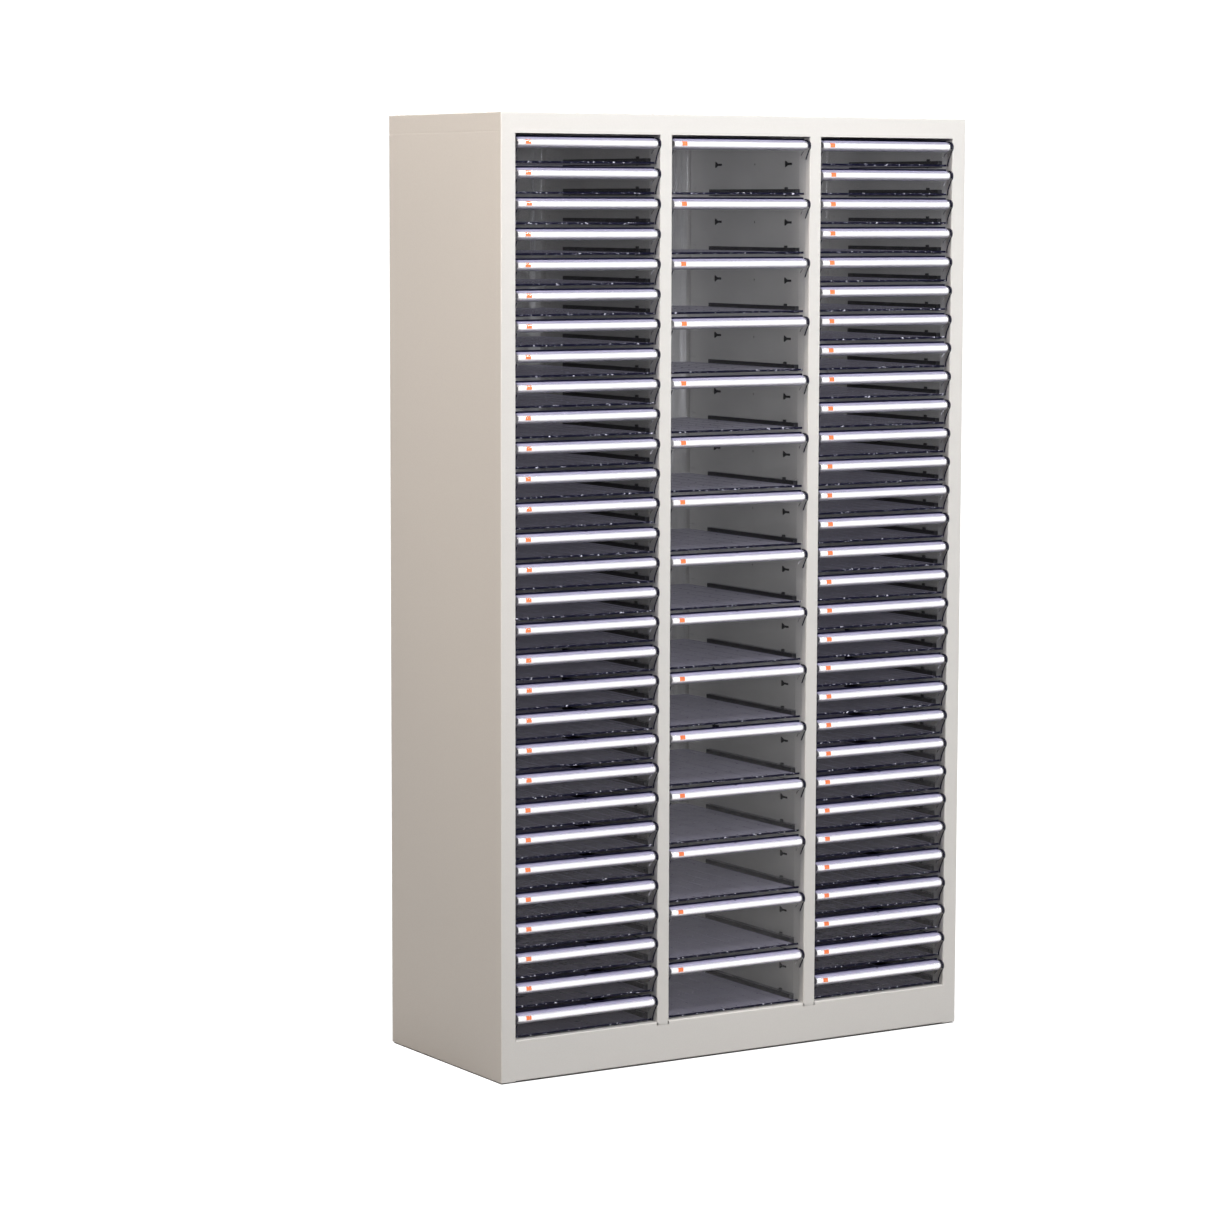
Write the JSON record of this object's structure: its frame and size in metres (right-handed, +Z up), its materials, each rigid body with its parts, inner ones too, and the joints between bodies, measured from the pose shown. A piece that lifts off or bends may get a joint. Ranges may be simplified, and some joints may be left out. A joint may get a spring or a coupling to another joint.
{
  "type": "document drawer cabinet",
  "caption": "Tall free-standing sheet-steel cabinet with columns of shallow and deep smoke-clear sliding trays for A4 paper, each with a bulged label bar.",
  "frame": {"origin": "centre of the footprint on the floor", "axes": "+Z up, -Y out of the drawer fronts, +X to the right seen from the front"},
  "size_m": [0.82, 0.3359, 1.4],
  "materials": {
    "body_paint": "satin powder coat, warm light grey",
    "smoke_plastic": "polished smoke-grey clear plastic",
    "runner_plastic": "moulded dark grey plastic",
    "rivet_metal": "zinc plated",
    "glide_plastic": "black nylon",
    "clear_cover": "clear glossy plastic label cover",
    "card_white": "white label card",
    "tab_orange": "orange index tab"
  },
  "bodies": {
    "cabinet": {"left_side_panel": "body_paint", "right_side_panel": "body_paint", "left_liner": "body_paint", "right_liner": "body_paint", "left_partition": "body_paint", "right_partition": "body_paint", "top_cap": "body_paint", "back_panel": "body_paint", "floor_panel": "body_paint", "plinth": "body_paint", "left_column_runners": "runner_plastic", "middle_column_runners": "runner_plastic", "right_column_runners": "runner_plastic", "back_rivets": "rivet_metal", "glides": "glide_plastic"},
    "left_drawers_01_02": {"left_drawers_01_02": "smoke_plastic"},
    "left_drawers_03_04": {"left_drawers_03_04": "smoke_plastic"},
    "left_drawers_05_06": {"left_drawers_05_06": "smoke_plastic"},
    "left_drawers_07_08": {"left_drawers_07_08": "smoke_plastic"},
    "left_drawers_09_10": {"left_drawers_09_10": "smoke_plastic"},
    "left_drawers_11_12": {"left_drawers_11_12": "smoke_plastic"},
    "left_drawers_13_14": {"left_drawers_13_14": "smoke_plastic"},
    "left_drawers_15_16": {"left_drawers_15_16": "smoke_plastic"},
    "left_drawers_17_18": {"left_drawers_17_18": "smoke_plastic"},
    "left_drawers_19_20": {"left_drawers_19_20": "smoke_plastic"},
    "left_drawers_21_22": {"left_drawers_21_22": "smoke_plastic"},
    "left_drawers_23_24": {"left_drawers_23_24": "smoke_plastic"},
    "left_drawers_25_26": {"left_drawers_25_26": "smoke_plastic"},
    "left_drawers_27_28": {"left_drawers_27_28": "smoke_plastic"},
    "left_drawers_29_30": {"left_drawers_29_30": "smoke_plastic"},
    "middle_drawer_01": {"middle_drawer_01": "smoke_plastic"},
    "middle_drawer_02": {"middle_drawer_02": "smoke_plastic"},
    "middle_drawer_03": {"middle_drawer_03": "smoke_plastic"},
    "middle_drawer_04": {"middle_drawer_04": "smoke_plastic"},
    "middle_drawer_05": {"middle_drawer_05": "smoke_plastic"},
    "middle_drawer_06": {"middle_drawer_06": "smoke_plastic"},
    "middle_drawer_07": {"middle_drawer_07": "smoke_plastic"},
    "middle_drawer_08": {"middle_drawer_08": "smoke_plastic"},
    "middle_drawer_09": {"middle_drawer_09": "smoke_plastic"},
    "middle_drawer_10": {"middle_drawer_10": "smoke_plastic"},
    "middle_drawer_11": {"middle_drawer_11": "smoke_plastic"},
    "middle_drawer_12": {"middle_drawer_12": "smoke_plastic"},
    "middle_drawer_13": {"middle_drawer_13": "smoke_plastic"},
    "middle_drawer_14": {"middle_drawer_14": "smoke_plastic"},
    "middle_drawer_15": {"middle_drawer_15": "smoke_plastic"},
    "right_drawers_01_02": {"right_drawers_01_02": "smoke_plastic"},
    "right_drawers_03_04": {"right_drawers_03_04": "smoke_plastic"},
    "right_drawers_05_06": {"right_drawers_05_06": "smoke_plastic"},
    "right_drawers_07_08": {"right_drawers_07_08": "smoke_plastic"},
    "right_drawers_09_10": {"right_drawers_09_10": "smoke_plastic"},
    "right_drawers_11_12": {"right_drawers_11_12": "smoke_plastic"},
    "right_drawers_13_14": {"right_drawers_13_14": "smoke_plastic"},
    "right_drawers_15_16": {"right_drawers_15_16": "smoke_plastic"},
    "right_drawers_17_18": {"right_drawers_17_18": "smoke_plastic"},
    "right_drawers_19_20": {"right_drawers_19_20": "smoke_plastic"},
    "right_drawers_21_22": {"right_drawers_21_22": "smoke_plastic"},
    "right_drawers_23_24": {"right_drawers_23_24": "smoke_plastic"},
    "right_drawers_25_26": {"right_drawers_25_26": "smoke_plastic"},
    "right_drawers_27_28": {"right_drawers_27_28": "smoke_plastic"},
    "right_drawers_29_30": {"right_drawers_29_30": "smoke_plastic"}
  },
  "joints": [
    {"name": "left_drawers_01_02_slide", "type": "slide", "parent": "cabinet", "child": "left_drawers_01_02", "axis": [0, -1, 0], "range_m": [0, 0.24]},
    {"name": "left_drawers_03_04_slide", "type": "slide", "parent": "cabinet", "child": "left_drawers_03_04", "axis": [0, -1, 0], "range_m": [0, 0.24]},
    {"name": "left_drawers_05_06_slide", "type": "slide", "parent": "cabinet", "child": "left_drawers_05_06", "axis": [0, -1, 0], "range_m": [0, 0.24]},
    {"name": "left_drawers_07_08_slide", "type": "slide", "parent": "cabinet", "child": "left_drawers_07_08", "axis": [0, -1, 0], "range_m": [0, 0.24]},
    {"name": "left_drawers_09_10_slide", "type": "slide", "parent": "cabinet", "child": "left_drawers_09_10", "axis": [0, -1, 0], "range_m": [0, 0.24]},
    {"name": "left_drawers_11_12_slide", "type": "slide", "parent": "cabinet", "child": "left_drawers_11_12", "axis": [0, -1, 0], "range_m": [0, 0.24]},
    {"name": "left_drawers_13_14_slide", "type": "slide", "parent": "cabinet", "child": "left_drawers_13_14", "axis": [0, -1, 0], "range_m": [0, 0.24]},
    {"name": "left_drawers_15_16_slide", "type": "slide", "parent": "cabinet", "child": "left_drawers_15_16", "axis": [0, -1, 0], "range_m": [0, 0.24]},
    {"name": "left_drawers_17_18_slide", "type": "slide", "parent": "cabinet", "child": "left_drawers_17_18", "axis": [0, -1, 0], "range_m": [0, 0.24]},
    {"name": "left_drawers_19_20_slide", "type": "slide", "parent": "cabinet", "child": "left_drawers_19_20", "axis": [0, -1, 0], "range_m": [0, 0.24]},
    {"name": "left_drawers_21_22_slide", "type": "slide", "parent": "cabinet", "child": "left_drawers_21_22", "axis": [0, -1, 0], "range_m": [0, 0.24]},
    {"name": "left_drawers_23_24_slide", "type": "slide", "parent": "cabinet", "child": "left_drawers_23_24", "axis": [0, -1, 0], "range_m": [0, 0.24]},
    {"name": "left_drawers_25_26_slide", "type": "slide", "parent": "cabinet", "child": "left_drawers_25_26", "axis": [0, -1, 0], "range_m": [0, 0.24]},
    {"name": "left_drawers_27_28_slide", "type": "slide", "parent": "cabinet", "child": "left_drawers_27_28", "axis": [0, -1, 0], "range_m": [0, 0.24]},
    {"name": "left_drawers_29_30_slide", "type": "slide", "parent": "cabinet", "child": "left_drawers_29_30", "axis": [0, -1, 0], "range_m": [0, 0.24]},
    {"name": "middle_drawer_01_slide", "type": "slide", "parent": "cabinet", "child": "middle_drawer_01", "axis": [0, -1, 0], "range_m": [0, 0.24]},
    {"name": "middle_drawer_02_slide", "type": "slide", "parent": "cabinet", "child": "middle_drawer_02", "axis": [0, -1, 0], "range_m": [0, 0.24]},
    {"name": "middle_drawer_03_slide", "type": "slide", "parent": "cabinet", "child": "middle_drawer_03", "axis": [0, -1, 0], "range_m": [0, 0.24]},
    {"name": "middle_drawer_04_slide", "type": "slide", "parent": "cabinet", "child": "middle_drawer_04", "axis": [0, -1, 0], "range_m": [0, 0.24]},
    {"name": "middle_drawer_05_slide", "type": "slide", "parent": "cabinet", "child": "middle_drawer_05", "axis": [0, -1, 0], "range_m": [0, 0.24]},
    {"name": "middle_drawer_06_slide", "type": "slide", "parent": "cabinet", "child": "middle_drawer_06", "axis": [0, -1, 0], "range_m": [0, 0.24]},
    {"name": "middle_drawer_07_slide", "type": "slide", "parent": "cabinet", "child": "middle_drawer_07", "axis": [0, -1, 0], "range_m": [0, 0.24]},
    {"name": "middle_drawer_08_slide", "type": "slide", "parent": "cabinet", "child": "middle_drawer_08", "axis": [0, -1, 0], "range_m": [0, 0.24]},
    {"name": "middle_drawer_09_slide", "type": "slide", "parent": "cabinet", "child": "middle_drawer_09", "axis": [0, -1, 0], "range_m": [0, 0.24]},
    {"name": "middle_drawer_10_slide", "type": "slide", "parent": "cabinet", "child": "middle_drawer_10", "axis": [0, -1, 0], "range_m": [0, 0.24]},
    {"name": "middle_drawer_11_slide", "type": "slide", "parent": "cabinet", "child": "middle_drawer_11", "axis": [0, -1, 0], "range_m": [0, 0.24]},
    {"name": "middle_drawer_12_slide", "type": "slide", "parent": "cabinet", "child": "middle_drawer_12", "axis": [0, -1, 0], "range_m": [0, 0.24]},
    {"name": "middle_drawer_13_slide", "type": "slide", "parent": "cabinet", "child": "middle_drawer_13", "axis": [0, -1, 0], "range_m": [0, 0.24]},
    {"name": "middle_drawer_14_slide", "type": "slide", "parent": "cabinet", "child": "middle_drawer_14", "axis": [0, -1, 0], "range_m": [0, 0.24]},
    {"name": "middle_drawer_15_slide", "type": "slide", "parent": "cabinet", "child": "middle_drawer_15", "axis": [0, -1, 0], "range_m": [0, 0.24]},
    {"name": "right_drawers_01_02_slide", "type": "slide", "parent": "cabinet", "child": "right_drawers_01_02", "axis": [0, -1, 0], "range_m": [0, 0.24]},
    {"name": "right_drawers_03_04_slide", "type": "slide", "parent": "cabinet", "child": "right_drawers_03_04", "axis": [0, -1, 0], "range_m": [0, 0.24]},
    {"name": "right_drawers_05_06_slide", "type": "slide", "parent": "cabinet", "child": "right_drawers_05_06", "axis": [0, -1, 0], "range_m": [0, 0.24]},
    {"name": "right_drawers_07_08_slide", "type": "slide", "parent": "cabinet", "child": "right_drawers_07_08", "axis": [0, -1, 0], "range_m": [0, 0.24]},
    {"name": "right_drawers_09_10_slide", "type": "slide", "parent": "cabinet", "child": "right_drawers_09_10", "axis": [0, -1, 0], "range_m": [0, 0.24]},
    {"name": "right_drawers_11_12_slide", "type": "slide", "parent": "cabinet", "child": "right_drawers_11_12", "axis": [0, -1, 0], "range_m": [0, 0.24]},
    {"name": "right_drawers_13_14_slide", "type": "slide", "parent": "cabinet", "child": "right_drawers_13_14", "axis": [0, -1, 0], "range_m": [0, 0.24]},
    {"name": "right_drawers_15_16_slide", "type": "slide", "parent": "cabinet", "child": "right_drawers_15_16", "axis": [0, -1, 0], "range_m": [0, 0.24]},
    {"name": "right_drawers_17_18_slide", "type": "slide", "parent": "cabinet", "child": "right_drawers_17_18", "axis": [0, -1, 0], "range_m": [0, 0.24]},
    {"name": "right_drawers_19_20_slide", "type": "slide", "parent": "cabinet", "child": "right_drawers_19_20", "axis": [0, -1, 0], "range_m": [0, 0.24]},
    {"name": "right_drawers_21_22_slide", "type": "slide", "parent": "cabinet", "child": "right_drawers_21_22", "axis": [0, -1, 0], "range_m": [0, 0.24]},
    {"name": "right_drawers_23_24_slide", "type": "slide", "parent": "cabinet", "child": "right_drawers_23_24", "axis": [0, -1, 0], "range_m": [0, 0.24]},
    {"name": "right_drawers_25_26_slide", "type": "slide", "parent": "cabinet", "child": "right_drawers_25_26", "axis": [0, -1, 0], "range_m": [0, 0.24]},
    {"name": "right_drawers_27_28_slide", "type": "slide", "parent": "cabinet", "child": "right_drawers_27_28", "axis": [0, -1, 0], "range_m": [0, 0.24]},
    {"name": "right_drawers_29_30_slide", "type": "slide", "parent": "cabinet", "child": "right_drawers_29_30", "axis": [0, -1, 0], "range_m": [0, 0.24]}
  ]
}
